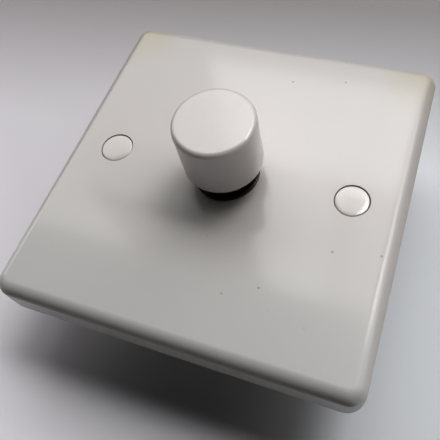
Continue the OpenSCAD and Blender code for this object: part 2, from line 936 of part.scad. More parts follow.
// Round axial body with raised ends
module axial_body(radius, length) {
    end = length * 0.25;
    cylinder(r = radius, h = end);
    translate([0, 0, end - 0.1]) cylinder(r = radius * 0.85, h = length - 2 * end + 0.2);
    translate([0, 0, length - end]) cylinder(r = radius, h = end);
}

module diac() {
    color("#c8683c") translate([diac_place[0] - diac_half, diac_place[1], resistor_z]) {
        rotate([0, 90, 0]) cylinder(r = diac_r, h = 2 * diac_half);
    }
}

module lead_wires() {
    color("#c8ccd0") {
        for (lead = upright_leads) {
            translate([lead[0], lead[1], lead[2]]) cylinder(r = lead_r, h = lead_front - lead[2]);
        }
        for (y = resistor_places) {
            axial_leads([resistor_x, y, resistor_z], resistor_half, axial_lead_x);
        }
        axial_leads([diac_place[0], diac_place[1], resistor_z], diac_half, axial_lead_x * 0.8);
    }
}

// The two level leads of an axial part, from its ends to its upright leads
module axial_leads(centre, half_body, reach) {
    translate(centre) {
        for (side = [0, 180]) {
            rotate([0, 0, side]) translate([half_body, 0, 0]) {
                rotate([0, 90, 0]) cylinder(r = lead_r, h = reach - half_body);
            }
        }
    }
}

// ---------- Fuse ----------

module along_fuse(y, length) {
    translate([fuse_x, y, fuse_z]) rotate([-90, 0, 0]) children();
}

module fuse_glass() {
    half = fuse_half_length - 0.5;
    color("#cfe3e6", 0.5) along_fuse(-half) ring(fuse_glass_r, 1.6, 2 * half);
}

module fuse_wire() {
    half = fuse_half_length - 0.5;
    color("#c0c4c8") along_fuse(-half) cylinder(r = 0.2, h = 2 * half);
}

module fuse_end_caps() {
    cap_length = 5;
    color("#b4b7ba") for (end = [-1, 1]) {
        y = end > 0 ? fuse_half_length - cap_length : -fuse_half_length;
        difference() {
            along_fuse(y) cylinder(r = fuse_r, h = cap_length);
            along_fuse(end > 0 ? y - over : y + 0.5) {
                cylinder(r = fuse_glass_r, h = cap_length + over - 0.5);
            }
        }
    }
}

module fuse_clips() {
    leaf = 0.4;
    half_width = 2;
    color("#c2a05a") for (end = [-1, 1]) {
        translate([fuse_x, end * 7.5, 0]) {
            for (side = [-1, 1]) {
                translate([side * (fuse_r + leaf / 2) - leaf / 2, -half_width, fuse_z - 2]) {
                    cube([leaf, 2 * half_width, board_back - 0.2 - fuse_z + 2]);
                }
            }
            box_between([-fuse_r - leaf, -half_width, board_back - leaf],
                [fuse_r + leaf, half_width, board_back]);
            box_between([-0.6, -0.4, board_back - leaf], [0.6, 0.4, board_front + 0.6]);
        }
    }
}

// ---------- Terminals ----------

module terminal_block() {
    pocket = pillar_half_width + 0.1;
    color("#f0eee8") difference() {
        box_between([-block_half_width, block_y_from, block_back], [block_half_width, block_y_to, board_back]);
        for (x = terminal_places) {
            box_between([x - pocket, pillar_y_from, block_back - over],
                [x + pocket, pillar_y_to + 0.1, pillar_front]);
            translate([x, block_y_from + 2 * over, terminal_z]) {
                rotate([90, 0, 0]) cylinder(r = 2.2, h = 4 * over);
            }
            box_between([x - 0.8, terminal_pin_y - 0.5, pillar_front - over],
                [x + 0.8, terminal_pin_y + 0.5, board_back + over]);
        }
    }
}

module terminal_pillars() {
    color("#c9a13c") for (x = terminal_places) {
        translate([x, 0, 0]) {
            difference() {
                box_between([-pillar_half_width, pillar_y_from, pillar_back],
                    [pillar_half_width, pillar_y_to, pillar_front]);
                translate([0, pillar_y_from + wire_hole_length, terminal_z]) {
                    rotate([90, 0, 0]) cylinder(d = wire_hole_d, h = wire_hole_length + over);
                }
                translate([0, terminal_screw_y, pillar_back - over]) {
                    cylinder(r = terminal_screw_r + running, h = terminal_z - pillar_back + over);
                }
            }
            box_between([-0.6, terminal_pin_y - 0.4, pillar_front - 0.2],
                [0.6, terminal_pin_y + 0.4, board_front + 0.6]);
        }
    }
}

module terminal_screw(index) {
    color("#c8ccd0") translate([terminal_places[index], terminal_screw_y, 0]) difference() {
        translate([0, 0, terminal_screw_tip - terminal_screw_length]) {
            cylinder(r = terminal_screw_r, h = terminal_screw_length);
        }
        translate([-terminal_screw_r - over, -0.35, terminal_screw_tip - terminal_screw_length - over]) {
            cube([2 * terminal_screw_r + 2 * over, 0.7, over + 0.9]);
        }
    }
}

module left_terminal_screw() {
    terminal_screw(0);
}

module middle_terminal_screw() {
    terminal_screw(1);
}

module right_terminal_screw() {
    terminal_screw(2);
}

// ---------- Trimmer for the lowest brightness ----------

module trimmer_base() {
    color("#2f5f9e") difference() {
        box_between([side_x - trimmer_half, -trimmer_half, trimmer_back],
            [side_x + trimmer_half, trimmer_half, board_back]);
        translate([side_x, 0, trimmer_back - over]) cylinder(r = trimmer_rotor_r + running, h = over + 1.5);
    }
}

module trimmer_rotor() {
    depth = 2.6;
    color("#f2efe6") translate([side_x, 0, trimmer_back + 1.4 - depth]) difference() {
        cylinder(r = trimmer_rotor_r, h = depth);
        translate([-trimmer_rotor_r - over, -0.4, -over]) cube([2 * trimmer_rotor_r + 2 * over, 0.8, over + 0.9]);
        translate([-0.4, -1.6, -over]) cube([0.8, 3.2, over + 0.9]);
    }
}

front_plate();
left_screw_cap();
right_screw_cap();
control_knob();
knob_spring_clip();
ring_nut();
nut_washer();
potentiometer_bush();
spindle();
spindle_circlip();
potentiometer_case();
resistance_track();
potentiometer_tags();
wiper_rotor();
wiper_contact();
switch_case();
switch_plunger();
plunger_spring();
latch_rotor();
contact_bridge();
fixed_contacts();
heat_sink_plate();
insulating_sheet();
module_housing();
module_screws();
circuit_board();
triac_body();
triac_metalwork();
triac_screw();
choke_core();
choke_winding();
suppression_capacitor();
timing_capacitors();
resistors();
diac();
lead_wires();
fuse_glass();
fuse_wire();
fuse_end_caps();
fuse_clips();
terminal_block();
terminal_pillars();
left_terminal_screw();
middle_terminal_screw();
right_terminal_screw();
trimmer_base();
trimmer_rotor();
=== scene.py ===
"""The looks of a rotary dimmer switch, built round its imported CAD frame.

Shapes are written in millimetres in the part's own frame and become metres when a piece is made.
Finishes are procedural and read object coordinates, so they move with their piece.
"""

import json
import math

import bmesh
import bpy
from mathutils import Matrix, Vector


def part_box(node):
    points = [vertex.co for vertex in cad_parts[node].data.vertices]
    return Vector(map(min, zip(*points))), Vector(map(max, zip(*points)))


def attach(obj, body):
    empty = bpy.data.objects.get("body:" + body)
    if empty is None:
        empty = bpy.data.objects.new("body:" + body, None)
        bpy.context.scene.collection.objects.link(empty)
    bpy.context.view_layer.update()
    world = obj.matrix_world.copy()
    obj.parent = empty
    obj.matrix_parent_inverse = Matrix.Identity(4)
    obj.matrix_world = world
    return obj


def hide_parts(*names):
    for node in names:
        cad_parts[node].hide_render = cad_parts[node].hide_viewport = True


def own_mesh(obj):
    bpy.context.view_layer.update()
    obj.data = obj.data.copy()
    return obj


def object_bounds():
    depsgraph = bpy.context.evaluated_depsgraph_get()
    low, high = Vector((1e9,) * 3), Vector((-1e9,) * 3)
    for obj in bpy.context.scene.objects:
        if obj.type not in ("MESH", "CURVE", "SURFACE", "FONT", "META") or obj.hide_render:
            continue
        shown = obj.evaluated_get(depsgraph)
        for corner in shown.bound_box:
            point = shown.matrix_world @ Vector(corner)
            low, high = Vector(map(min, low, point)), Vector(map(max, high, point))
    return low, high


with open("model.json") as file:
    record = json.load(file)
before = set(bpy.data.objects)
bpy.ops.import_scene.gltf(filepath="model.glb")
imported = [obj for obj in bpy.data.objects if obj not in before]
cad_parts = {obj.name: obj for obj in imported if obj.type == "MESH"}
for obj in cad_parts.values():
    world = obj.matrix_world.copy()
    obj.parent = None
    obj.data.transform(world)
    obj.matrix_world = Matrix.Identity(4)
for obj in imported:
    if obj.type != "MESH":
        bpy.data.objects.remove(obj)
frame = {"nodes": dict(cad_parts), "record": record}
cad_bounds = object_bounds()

MM = 0.001
IDENTITY = Matrix.Identity(4)
SHARP = math.radians(32)  # an edge that turns more than this is rounded


def low(node):
    """Lowest corner of a CAD node, in millimetres."""
    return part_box(node)[0] / MM


def high(node):
    """Highest corner of a CAD node, in millimetres."""
    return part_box(node)[1] / MM


def middle(node):
    """Centre of a CAD node's box, in millimetres."""
    return (low(node) + high(node)) / 2


# ---------- Shapes ----------


def rounded(points, steps=5):
    """Turns each profile corner (x, y, radius) into an arc; a point without a radius stays sharp."""
    smooth = []
    for i, point in enumerate(points):
        corner = Vector(point[:2])
        radius = point[2] if len(point) > 2 else 0
        if radius <= 0 or i in (0, len(points) - 1):
            smooth.append(corner)
            continue
        back = (Vector(points[i - 1][:2]) - corner).normalized()
        ahead = (Vector(points[i + 1][:2]) - corner).normalized()
        half = math.acos(max(-1, min(1, back.dot(ahead)))) / 2
        if half > math.radians(89.5):
            smooth.append(corner)
            continue
        reach = radius / math.tan(half)
        centre = corner + (back + ahead).normalized() * radius / math.sin(half)
        start = corner + back * reach - centre
        turn = start.angle_signed(corner + ahead * reach - centre)
        for step in range(steps + 1):
            smooth.append(centre + Matrix.Rotation(-turn * step / steps, 2) @ start)
    return smooth


def polar(radius, angle, height):
    """A point at a distance and an angle round Z, at a height."""
    return Vector((radius * math.cos(angle), radius * math.sin(angle), height))


def join_rings(bm, lower, upper):
    """Faces between two closed rings of vertices, either of which may be a single point."""
    count = max(len(lower), len(upper))
    for i in range(count):
        j = (i + 1) % count
        corners = [
            lower[i % len(lower)], lower[j % len(lower)], upper[j % len(upper)], upper[i % len(upper)],
        ]
        unique = list(dict.fromkeys(corners))
        if len(unique) > 2:
            bm.faces.new(unique)


def skin(bm, rings, ends="open"):
    """Faces from each ring to the next. The end rings stay open, are joined to each other or are capped."""
    following = rings[1:] + rings[:1] if ends == "joined" else rings[1:]
    for lower, upper in zip(rings, following):
        join_rings(bm, lower, upper)
    if ends == "capped":
        bm.faces.new(rings[0])
        bm.faces.new(rings[-1])


def circle(bm, radius, height, count, place=IDENTITY):
    """A closed ring of vertices round Z."""
    return [bm.verts.new(place @ polar(radius, 2 * math.pi * i / count, height)) for i in range(count)]


def lathe(bm, profile, segments=96, place=IDENTITY):
    """Turns a profile of (radius, height) round Z. A radius of 0 at an end closes that end."""
    rings = []
    for radius, height in profile:
        if radius < 1e-6:
            rings.append([bm.verts.new(place @ Vector((0, 0, height)))])
        else:
            rings.append(circle(bm, radius, height, segments, place))
    hollow = len(rings[0]) > 1 and len(rings[-1]) > 1
    skin(bm, rings, "joined" if hollow else "open")


def square_ring(bm, half, radius, height, steps=10):
    """A closed ring of vertices along a square with rounded corners."""
    ring = []
    for quarter in range(4):
        for step in range(steps + 1):
            angle = math.pi / 2 * (quarter + step / steps)
            centre = half - radius
            side = Vector(((1, 1), (-1, 1), (-1, -1), (1, -1))[quarter])
            point = side * centre + Vector((math.cos(angle), math.sin(angle))) * radius
            ring.append(bm.verts.new((point.x, point.y, height)))
    return ring


def prism(bm, outline, bottom, top):
    """An outline extruded along Z between two heights."""
    ends = [[bm.verts.new(Vector((p[0], p[1], z))) for p in outline] for z in (bottom, top)]
    skin(bm, ends, "capped")


def block(bm, lowest, highest, place=IDENTITY):
    """A box between two corners."""
    size = Vector(highest) - Vector(lowest)
    centre = Matrix.Translation((Vector(highest) + Vector(lowest)) / 2)
    bmesh.ops.create_cube(bm, size=1, matrix=place @ centre @ Matrix.Diagonal((*size, 1)))


def tube(bm, path, radius, sides=10):
    """A round wire swept along a path, with flat ends."""
    points = [Vector(p) for p in path]
    normal = None
    rings = []
    for i, point in enumerate(points):
        along = (points[min(i + 1, len(points) - 1)] - points[max(i - 1, 0)]).normalized()
        if normal is None:
            normal = along.orthogonal().normalized()
        normal = (normal - along * normal.dot(along)).normalized()
        across = along.cross(normal)
        angles = (2 * math.pi * k / sides for k in range(sides))
        rings.append([
            bm.verts.new(point + (normal * math.cos(a) + across * math.sin(a)) * radius) for a in angles
        ])
    skin(bm, rings, "capped")


def along_axis(axis, centre):
    """A placing that turns Z to the given axis and then moves to the centre."""
    turned = Vector((0, 0, 1)).rotation_difference(Vector(axis)).to_matrix().to_4x4()
    return Matrix.Translation(Vector(centre)) @ turned


# ---------- Pieces ----------


def as_object(name, bm):
    """An object in the scene from a mesh in millimetres."""
    bmesh.ops.recalc_face_normals(bm, faces=bm.faces)
    bmesh.ops.scale(bm, vec=(MM, MM, MM), verts=bm.verts)
    mesh = bpy.data.meshes.new(name)
    bm.to_mesh(mesh)
    bm.free()
    made = bpy.data.objects.new(name, mesh)
    bpy.context.scene.collection.objects.link(made)
    return made


def apply_modifiers(piece):
    """Makes the piece's mesh what its modifiers show, and clears them."""
    bpy.context.view_layer.update()
    graph = bpy.context.evaluated_depsgraph_get()
    mesh = bpy.data.meshes.new_from_object(piece.evaluated_get(graph))
    piece.modifiers.clear()
    piece.data = mesh


def combine(piece, build, operation="DIFFERENCE"):
    """Cuts, joins or trims the piece with the mesh that build makes."""
    bm = bmesh.new()
    build(bm)
    tool = as_object("tool", bm)
    boolean = piece.modifiers.new("combine", "BOOLEAN")
    boolean.operation = operation
    boolean.solver = "EXACT"
    boolean.object = tool
    apply_modifiers(piece)
    bpy.data.objects.remove(tool)


def soften(piece, width=0.0, segments=2):
    """Rounds the piece's sharp edges and shades it smoothly, with flat faces kept flat."""
    for polygon in piece.data.polygons:
        polygon.use_smooth = True
    if width:
        bevel = piece.modifiers.new("soft edges", "BEVEL")
        bevel.width = width * MM
        bevel.segments = segments
        bevel.limit_method = "ANGLE"
        bevel.angle_limit = SHARP
        bevel.miter_outer = "MITER_ARC"
    weighted = piece.modifiers.new("flat faces", "WEIGHTED_NORMAL")
    weighted.keep_sharp = True
    apply_modifiers(piece)


def mount(piece, node, width=0.0):
    """Gives a piece its edges, finish and body from the CAD node that it stands for, and hides that node.
    """
    soften(piece, width)
    finish_name = frame["nodes"][node].data.materials[0].name.split(".")[0]
    piece.data.materials.clear()
    piece.data.materials.append(finish(finish_name))
    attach(piece, body_of_node[node])
    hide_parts(node)
    return piece


def make(node, build, width=0.0):
    """Builds a detailed piece that stands for a CAD node."""
    bm = bmesh.new()
    build(bm)
    return mount(as_object(f"{node}_piece", bm), node, width)


def copy_of(node):
    """A copy of a CAD node's shape, welded, with its flat faces whole."""
    bm = bmesh.new()
    bm.from_mesh(frame["nodes"][node].data)
    bmesh.ops.remove_doubles(bm, verts=bm.verts, dist=2e-6)
    bmesh.ops.dissolve_limit(bm, angle_limit=math.radians(0.6), verts=bm.verts, edges=bm.edges)
    bmesh.ops.scale(bm, vec=(1 / MM, 1 / MM, 1 / MM), verts=bm.verts)
    return as_object(f"{node}_piece", bm)


def refine(node, width):
    """Stands for a CAD node with the same shape and softly moulded or broken edges."""
    return mount(copy_of(node), node, width)


body_of_node = {
    node: body for body, nodes in frame["record"]["behaviour"]["bodies"].items() for node in nodes
}


# ---------- Finishes ----------


class Finish:
    """A principled material and short calls that add nodes to it."""

    def __init__(self, name, **sockets):
        self.material = bpy.data.materials.new(f"{name}_finish")
        self.material.use_nodes = True
        self.tree = self.material.node_tree
        self.shader = self.tree.nodes["Principled BSDF"]
        for socket, value in sockets.items():
            self.shader.inputs[socket.replace("_", " ")].default_value = value
        self.place = self.node("ShaderNodeTexCoord").outputs["Object"]

    def node(self, kind, inputs=(), **settings):
        """Adds a node, sets it up and links or sets its inputs in order."""
        made = self.tree.nodes.new(kind)
        for key, value in settings.items():
            setattr(made, key, value)
        for socket, value in dict(inputs).items():
            if isinstance(value, bpy.types.NodeSocket):
                self.tree.links.new(value, made.inputs[socket])
            else:
                made.inputs[socket].default_value = value
        return made

    def stretched(self, scale):
        """The object's own coordinates, scaled differently along each axis."""
        return self.node("ShaderNodeMapping", {"Vector": self.place, "Scale": scale}).outputs["Vector"]

    def noise(self, scale, detail=3.0, place=None, roughness=0.5):
        """Soft cloudy variation from 0 to 1; scale is in waves per metre."""
        return self.node("ShaderNodeTexNoise", {
            "Vector": place or self.place, "Scale": scale, "Detail": detail, "Roughness": roughness,
        }).outputs["Fac"]

    def flecks(self, scale):
        """Distance, seen along Z, to the nearest of many scattered points."""
        made = self.node(
            "ShaderNodeTexVoronoi", {"Vector": self.place, "Scale": scale}, voronoi_dimensions="2D"
        )
        return made.outputs["Distance"]

    def range(self, value, low_in, high_in, low_out=0.0, high_out=1.0):
        """Maps a value from one range to another, clamped."""
        return self.node("ShaderNodeMapRange", {
            "Value": value, "From Min": low_in, "From Max": high_in, "To Min": low_out, "To Max": high_out,
        }).outputs["Result"]

    def math(self, operation, first, second=0.0):
        """Works out a value from one or two others."""
        return self.node("ShaderNodeMath", {0: first, 1: second}, operation=operation).outputs[0]

    def product(self, first, second):
        """Multiplies two values."""
        return self.math("MULTIPLY", first, second)

    def mix(self, factor, first, second):
        """Blends two colours."""
        made = self.node("ShaderNodeMix", data_type="RGBA")
        for index, value in ((0, factor), (6, first), (7, second)):
            if isinstance(value, bpy.types.NodeSocket):
                self.tree.links.new(value, made.inputs[index])
            else:
                made.inputs[index].default_value = value
        return made.outputs[2]

    def coordinates(self):
        """The object's x, y and z, in metres, as three separate values."""
        return self.node("ShaderNodeSeparateXYZ", {"Vector": self.place}).outputs

    def use(self, socket, value):
        """Feeds a value or colour to a socket of the surface."""
        self.tree.links.new(value, self.shader.inputs[socket])

    def bump(self, height, distance, strength=1.0):
        """Adds a height in metres to the bumps that the surface has already."""
        made = self.node("ShaderNodeBump", {"Height": height, "Distance": distance, "Strength": strength})
        before = self.shader.inputs["Normal"].links
        if before:
            self.tree.links.new(before[0].from_socket, made.inputs["Normal"])
        self.use("Normal", made.outputs["Normal"])


def shade(colour, factor):
    """A colour made lighter or darker, with full opacity."""
    return (*(min(1.0, channel * factor) for channel in colour[:3]), 1.0)


def moulded(name, colour, roughness=0.3, grain=0.00001, variation=0.05, **sockets):
    """Moulded plastic: slight clouding, faint flow marks, a few scuffs and a fine skin."""
    made = Finish(name, Roughness=roughness, **sockets)
    cloud = made.noise(60, 4)
    base = made.mix(cloud, shade(colour, 1 - variation), shade(colour, 1 + variation))
    dust = made.range(made.noise(900, 5, roughness=0.7), 0.62, 0.75, 0.0, 0.25)
    made.use("Base Color", made.mix(dust, base, shade(colour, 0.72)))
    scuffs = made.range(made.noise(240, 6, made.stretched((1.0, 0.35, 1.0)), 0.75), 0.45, 0.7, -0.04, 0.1)
    made.use("Roughness", made.math("ADD", scuffs, roughness))
    made.bump(made.noise(2600, 2), grain)
    return made


def metal(name, colour, roughness=0.3, along=(1.0, 1.0, 0.08), variation=0.12, tarnish=(0.25, 0.2, 0.15)):
    """Worked metal: fine drawing or turning marks, dull patches and a few darker spots."""
    made = Finish(name, Metallic=1.0, Roughness=roughness)
    marks = made.noise(2200, 3, made.stretched(along), 0.6)
    base = made.mix(marks, shade(colour, 1 - variation), shade(colour, 1 + variation / 2))
    spots = made.range(made.noise(330, 6, roughness=0.7), 0.58, 0.78, 0.0, 0.7)
    made.use("Base Color", made.mix(spots, base, shade(tarnish, 1)))
    dull = made.range(made.noise(160, 4), 0.3, 0.7, -0.06, 0.14)
    made.use("Roughness", made.math("ADD", dull, roughness))
    made.bump(marks, 0.000006)
    return made


def plate_plastic():
    """White plate with specks on its face, yellowed upper corners, painted shade in the bend of its near
    edge and a darker band towards its rear rim.
    """
    half = high("front_plate").x * MM
    top = high("front_plate").z * MM
    colour = (0.652, 0.625, 0.606)
    made = Finish("plate_plastic", Coat_Roughness=0.1)
    x, y, z = made.coordinates()
    across = made.math("ABSOLUTE", x)
    rim = made.math("MAXIMUM", across, made.math("ABSOLUTE", y))

    uneven = made.mix(made.noise(45, 4), shade(colour, 0.97), shade(colour, 1.02))
    clean = made.mix(made.range(y, -half, 0, 0.85, 0.0), uneven, (0.63, 0.628, 0.622, 1))
    upper = made.range(y, half * 0.6, half * 0.95)
    corner = made.product(upper, made.range(across, half * 0.65, half * 0.97))
    edge = made.range(rim, half * 0.95, half, 0.0, 0.12)
    patchy = made.range(made.noise(70, 3), 0.3, 0.6, 0.5, 1.1)
    aged = made.product(made.math("ADD", corner, edge), patchy)
    yellowed = made.mix(made.range(aged, 0, 1, 0, 0.9), clean, (0.60, 0.55, 0.41, 1))

    # Darker, with noise, towards the rear rim.
    rim_darkening = made.product(made.range(z, 0, top * 0.25, 0.25, 0.0), made.noise(180, 5))
    darkened_at_rim = made.mix(rim_darkening, yellowed, (0.28, 0.25, 0.21, 1))
    # Painted shade: a dark brown band in the rounded bend of the near edge, where the edge turns away from
    # the light.
    above_wall = made.range(z, top * 0.68, top * 0.76)
    below_face = made.range(z, top * 0.86, top * 0.94, 1.0, 0.0)
    front = made.range(y, half * -0.985, half * -0.965, 1.0, 0.0)
    painted_bend_shade = made.product(made.product(above_wall, below_face), front)
    wear_and_bend_shade = made.mix(made.product(painted_bend_shade, 0.8), darkened_at_rim, (0.20, 0.165, 0.13, 1))

    on_face = made.range(z, top * 0.8, top * 0.95)
    some = made.product(made.range(made.noise(31, 1), 0.6, 0.65), on_face)
    specks = made.product(made.range(made.flecks(75), 0.01, 0.028, 1.0, 0.0), some)
    made.use("Base Color", made.mix(made.product(specks, 0.5), wear_and_bend_shade, (0.16, 0.13, 0.10, 1)))

    hazy = made.range(made.noise(38, 5, roughness=0.65), 0.35, 0.7, 0.0, 0.05)
    rub = made.range(made.noise(900, 4, made.stretched((1, 0.06, 1))), 0.6, 0.75, 0.0, 0.06)
    thumbed = made.range(x, half * 0.89, half * 0.93, 0.33, 0.4)
    made.use("Roughness", made.math("ADD", made.math("ADD", hazy, rub), thumbed))
    glossy = made.range(rim, half * 0.93, half * 0.97, 0.75, 0.3)
    made.use("Coat Weight", made.product(glossy, made.range(x, half * 0.89, half * 0.93, 1.0, 0.45)))
    made.bump(made.noise(70, 2), 0.00002, 0.6)
    made.bump(made.noise(3200, 2), 0.0000012)
    return made


def knob_plastic():
    """White knob, a little cleaner than the plate, with faint finger wear round its side."""
    colour = (0.75, 0.715, 0.70)
    made = Finish("knob_plastic", Roughness=0.35, Coat_Weight=0.6, Coat_Roughness=0.16)
    base = made.mix(made.noise(90, 4), shade(colour, 0.985), shade(colour, 1.01))
    wear_and_bend_shade = made.range(made.noise(420, 5, made.stretched((1, 1, 0.4)), 0.7), 0.55, 0.75, 0.0, 0.07)
    made.use("Base Color", made.mix(wear_and_bend_shade, base, (0.46, 0.41, 0.35, 1)))
    worn = made.range(made.noise(260, 4), 0.35, 0.7, 0.33, 0.38)
    made.use("Roughness", worn)
    made.bump(made.noise(2400, 3), 0.0000025)
    return made


def cap_plastic():
    """Screw cap in a slightly warmer white than the plate."""
    return moulded("cap_plastic", (0.71, 0.68, 0.655), roughness=0.34, grain=0.000001, variation=0.02,
                   Coat_Weight=0.8, Coat_Roughness=0.1)


def ringed_metal(name, colour, roughness, variation=0.25):
    """Turned metal with fine rings round the Z axis."""
    made = Finish(name, Metallic=1.0, Roughness=roughness)
    flat = made.node("ShaderNodeVectorMath", {0: made.place, 1: (1, 1, 0)}, operation="MULTIPLY").outputs[0]
    radius = made.node("ShaderNodeVectorMath", {0: flat}, operation="LENGTH").outputs["Value"]
    rings = made.node(
        "ShaderNodeTexNoise", {"W": radius, "Scale": 9000.0, "Detail": 3.0}, noise_dimensions="1D"
    )
    marks = rings.outputs["Fac"]
    base = made.mix(marks, shade(colour, 1 - variation), shade(colour, 1 + variation))
    rust = made.range(made.noise(500, 6, roughness=0.7), 0.55, 0.75, 0.0, 0.5)
    made.use("Base Color", made.mix(rust, base, (0.11, 0.07, 0.045, 1)))
    made.use("Roughness", made.range(made.noise(400, 3), 0.3, 0.7, roughness - 0.05, roughness + 0.12))
    made.bump(marks, 0.000008)
    return made


def laminate(name, colour, weave=1600):
    """Pressed board with a faint weave and darker fibres."""
    made = Finish(name, Roughness=0.5)
    fibres = made.noise(weave, 4, made.stretched((1, 0.15, 1)), 0.6)
    across = made.noise(weave, 4, made.stretched((0.15, 1, 1)), 0.6)
    both = made.math("ADD", fibres, across)
    made.use("Base Color", made.mix(made.range(both, 0.7, 1.3), shade(colour, 0.8), shade(colour, 1.12)))
    made.use("Roughness", made.range(both, 0.7, 1.3, 0.42, 0.6))
    made.bump(both, 0.00001)
    return made


def banded(name, colour, bands, centre, half):
    """Coated axial body with plain bands across X, each with its place along the body, width and colour."""
    made = Finish(name, Roughness=0.35)
    x = made.coordinates()[0]
    along = made.range(x, (centre - half) * MM, (centre + half) * MM)
    painted = made.mix(made.noise(700, 4), shade(colour, 0.9), shade(colour, 1.06))
    for place, width, band in bands:
        near = made.math("ABSOLUTE", made.math("SUBTRACT", along, place))
        inside = made.range(near, width * 0.45, width * 0.5, 1.0, 0.0)
        painted = made.mix(inside, painted, (*band, 1))
    made.use("Base Color", painted)
    made.use("Roughness", made.range(made.noise(500, 3), 0.3, 0.7, 0.28, 0.45))
    made.bump(made.noise(1500, 3), 0.00001)
    return made


def clear_glass():
    """Clear glass tube with a slight tint and faint drawing lines."""
    made = Finish("fuse_glass", Roughness=0.03, IOR=1.5)
    made.shader.inputs["Transmission Weight"].default_value = 1.0
    made.use("Base Color", made.mix(made.noise(300, 3), (0.86, 0.93, 0.92, 1), (0.95, 0.98, 0.98, 1)))
    made.use("Roughness", made.range(made.noise(800, 3), 0.4, 0.8, 0.02, 0.08))
    made.bump(made.noise(900, 2, made.stretched((1, 0.05, 1))), 0.000004)
    return made


def resistor_coat():
    """Tan coat with four bands."""
    centre = middle("resistors").x
    half = high("resistors").x - centre
    bands = (
        (0.2, 0.09, (0.33, 0.12, 0.03)), (0.37, 0.09, (0.01, 0.01, 0.01)),
        (0.53, 0.09, (0.75, 0.32, 0.02)), (0.8, 0.09, (0.55, 0.36, 0.08)),
    )
    return banded("resistor_tan", (0.62, 0.45, 0.25), bands, centre, half)


def diac_coat():
    """Orange glass with one band."""
    centre = middle("diac").x
    half = high("diac").x - centre
    return banded("diac_glass", (0.62, 0.22, 0.08), ((0.8, 0.14, (0.02, 0.02, 0.02)),), centre, half)


FINISHES = {
    "plate_plastic": plate_plastic,
    "knob_plastic": knob_plastic,
    "cap_plastic": cap_plastic,
    "spring_steel": lambda: metal("spring_steel", (0.6, 0.61, 0.63), 0.28),
    "nut_black": lambda: ringed_metal("nut_black", (0.055, 0.05, 0.05), 0.32),
    "washer_black": lambda: ringed_metal("washer_black", (0.10, 0.082, 0.07), 0.36),
    "bush_metal": lambda: ringed_metal("bush_metal", (0.42, 0.41, 0.4), 0.34, 0.15),
    "spindle_aluminium": lambda: metal("spindle_aluminium", (0.7, 0.71, 0.73), 0.25, (0.3, 0.3, 2.5)),
    "case_steel": lambda: metal("case_steel", (0.66, 0.67, 0.68), 0.3),
    "phenolic_brown": lambda: laminate("phenolic_brown", (0.2, 0.1, 0.05)),
    "tinned_metal": lambda: metal("tinned_metal", (0.72, 0.73, 0.75), 0.3),
    "nylon_natural": lambda: moulded("nylon_natural", (0.72, 0.68, 0.58), 0.42, Subsurface_Weight=0.1),
    "phosphor_bronze": lambda: metal("phosphor_bronze", (0.7, 0.42, 0.2), 0.3, tarnish=(0.25, 0.12, 0.06)),
    "phenolic_black": lambda: moulded("phenolic_black", (0.028, 0.027, 0.028), 0.38, 0.00002, 0.2),
    "latch_red": lambda: moulded("latch_red", (0.45, 0.07, 0.045), 0.36),
    "contact_brass": lambda: metal("contact_brass", (0.75, 0.55, 0.22), 0.28, tarnish=(0.3, 0.18, 0.07)),
    "sink_aluminium": lambda: metal("sink_aluminium", (0.7, 0.71, 0.72), 0.36, (1, 0.03, 1)),
    "fish_paper": lambda: laminate("fish_paper", (0.6, 0.5, 0.31), 900),
    "housing_plastic": lambda: moulded("housing_plastic", (0.63, 0.615, 0.57), 0.5, 0.00004, 0.04),
    "screw_steel": lambda: metal("screw_steel", (0.6, 0.61, 0.6), 0.3, tarnish=(0.32, 0.27, 0.18)),
    "board_laminate": lambda: laminate("board_laminate", (0.42, 0.24, 0.1)),
    "epoxy_black": lambda: moulded("epoxy_black", (0.022, 0.022, 0.024), 0.5, 0.00002, 0.2),
    "powdered_iron": lambda: moulded("powdered_iron", (0.055, 0.09, 0.07), 0.45, 0.00005, 0.2),
    "enamelled_copper": lambda: metal(
        "enamelled_copper", (0.7, 0.25, 0.09), 0.2, tarnish=(0.3, 0.08, 0.03)
    ),
    "capacitor_yellow": lambda: moulded("capacitor_yellow", (0.72, 0.5, 0.05), 0.35, 0.00002),
    "film_capacitor_red": lambda: moulded("film_capacitor_red", (0.42, 0.05, 0.03), 0.25),
    "resistor_tan": resistor_coat,
    "diac_glass": diac_coat,
    "fuse_glass": clear_glass,
    "nickel_plate": lambda: metal("nickel_plate", (0.7, 0.69, 0.66), 0.16, variation=0.06),
    "clip_brass": lambda: metal("clip_brass", (0.72, 0.52, 0.22), 0.3, tarnish=(0.3, 0.18, 0.07)),
    "terminal_plastic": lambda: moulded("terminal_plastic", (0.78, 0.76, 0.7), 0.4, Subsurface_Weight=0.05),
    "pillar_brass": lambda: metal(
        "pillar_brass", (0.78, 0.58, 0.2), 0.26, (1, 0.06, 1), tarnish=(0.33, 0.2, 0.07)
    ),
    "trimmer_blue": lambda: moulded("trimmer_blue", (0.03, 0.11, 0.33), 0.38),
}
made_finishes = {}


def finish(name):
    """The material of a record slot, made the first time it is asked for."""
    if name not in made_finishes:
        made_finishes[name] = FINISHES[name]().material
    return made_finishes[name]


# ---------- Front plate ----------

PLATE_HALF = high("front_plate").x
PLATE_TOP = high("front_plate").z
FACE = 2.5  # thickness of the front face
SKIRT = 2.2  # thickness of the walls
EDGE = 3.0  # radius of the front edge
CORNER = 4.0  # radius of the corners, seen from the front
SHOULDER = PLATE_TOP - EDGE  # height at which the front edge starts
DRAFT = math.tan(math.radians(3))  # how much the walls widen on their way to the rear rim
HEAD_SEAT = 5.2  # height of the ledge for each fixing screw's head
FIXING_X = (high("right_screw_cap").x + low("right_screw_cap").x) / 2
CAP_R = (high("right_screw_cap").x - low("right_screw_cap").x) / 2


